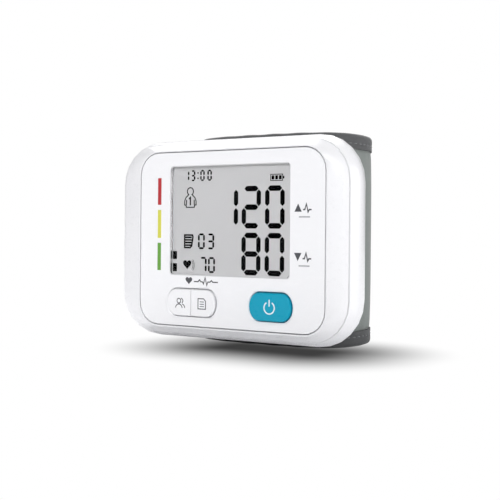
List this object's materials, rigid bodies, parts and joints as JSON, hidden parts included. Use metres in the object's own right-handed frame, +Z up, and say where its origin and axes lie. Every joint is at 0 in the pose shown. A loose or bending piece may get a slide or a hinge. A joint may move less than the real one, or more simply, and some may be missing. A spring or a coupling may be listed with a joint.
{
  "type": "wrist blood pressure monitor",
  "caption": "Slim display unit with three sprung push buttons and a side battery cover, carried on a padded wrist cuff whose free end peels open.",
  "frame": {"origin": "middle of the bottom of the bounding box, on the surface that the cuff stands on", "axes": "+X to the right of someone facing the display, -Y is the way the display faces, +Z up"},
  "size_m": [0.0852, 0.0632, 0.066],
  "materials": {
    "white_plastic": "white satin moulding",
    "panel_plastic": "smooth white panel with printed legends",
    "clear_window": "clear polished window",
    "display_glass": "grey liquid crystal glass",
    "blue_plastic": "satin blue moulding",
    "inner_plastic": "unpainted inner moulding",
    "black_plastic": "matt black moulding",
    "board": "green board",
    "rubber": "soft grey rubber",
    "silicone": "milky silicone",
    "steel": "bright plated steel",
    "cell_jacket": "plain printed jacket",
    "cuff_fabric": "grey loop fabric",
    "lining_fabric": "soft grey lining",
    "edge_tape": "dark grey stitched tape",
    "hook_tape": "dark hook tape"
  },
  "bodies": {
    "monitor": {"front_housing": "white_plastic", "display_panel": "panel_plastic", "display_lens": "clear_window", "lcd_glass": "display_glass", "lcd_holder": "inner_plastic", "zebra_strip": "rubber", "circuit_board": "board", "microcontroller": "black_plastic", "buzzer": "black_plastic", "pressure_sensor": "black_plastic", "start_stop_switch": "steel", "user_switch": "steel", "memory_switch": "steel", "rear_housing": "white_plastic", "housing_screw_1": "steel", "housing_screw_2": "steel", "housing_screw_3": "steel", "housing_screw_4": "steel", "battery_cell_1": "cell_jacket", "battery_spring_1": "steel", "battery_plate_1": "steel", "battery_cell_2": "cell_jacket", "battery_spring_2": "steel", "battery_plate_2": "steel", "battery_bridge": "steel", "pump_motor": "steel", "pump_head": "inner_plastic", "exhaust_valve": "steel", "air_tee": "inner_plastic", "pump_tube": "silicone", "valve_tube": "silicone", "sensor_tube": "silicone", "cuff_tube": "silicone", "cuff_outer_cover": "cuff_fabric", "cuff_curl_plate": "inner_plastic", "cuff_air_bladder": "rubber", "cuff_inner_cover": "lining_fabric", "cuff_top_binding": "edge_tape", "cuff_bottom_binding": "edge_tape"},
    "start_stop": {"start_stop_button": "blue_plastic", "start_stop_plunger": "black_plastic"},
    "user_key": {"user_button": "white_plastic", "user_plunger": "black_plastic"},
    "memory_key": {"memory_button": "white_plastic", "memory_plunger": "black_plastic"},
    "battery_door": {"battery_cover": "white_plastic"},
    "flap": {"cuff_flap": "cuff_fabric", "hook_patch": "hook_tape"}
  },
  "joints": [
    {"name": "start_stop_press", "type": "slide", "parent": "monitor", "child": "start_stop", "axis": [0, 1, 0], "range_m": [0, 0.0006], "stiffness_N_per_m": 1500, "springref_m": -0.0004},
    {"name": "user_press", "type": "slide", "parent": "monitor", "child": "user_key", "axis": [0, 1, 0], "range_m": [0, 0.0006], "stiffness_N_per_m": 1500, "springref_m": -0.0004},
    {"name": "memory_press", "type": "slide", "parent": "monitor", "child": "memory_key", "axis": [0, 1, 0], "range_m": [0, 0.0006], "stiffness_N_per_m": 1500, "springref_m": -0.0004},
    {"name": "battery_cover_slide", "type": "slide", "parent": "monitor", "child": "battery_door", "axis": [-1, 0, 0], "range_m": [0, 0.02]},
    {"name": "cuff_flap_hinge", "type": "hinge", "parent": "monitor", "child": "flap", "pos_m": [0.01426, 0.02603, 0.033], "axis": [0, 0, -1], "range_deg": [0, 110], "stiffness_Nm_per_rad": 0.02}
  ]
}
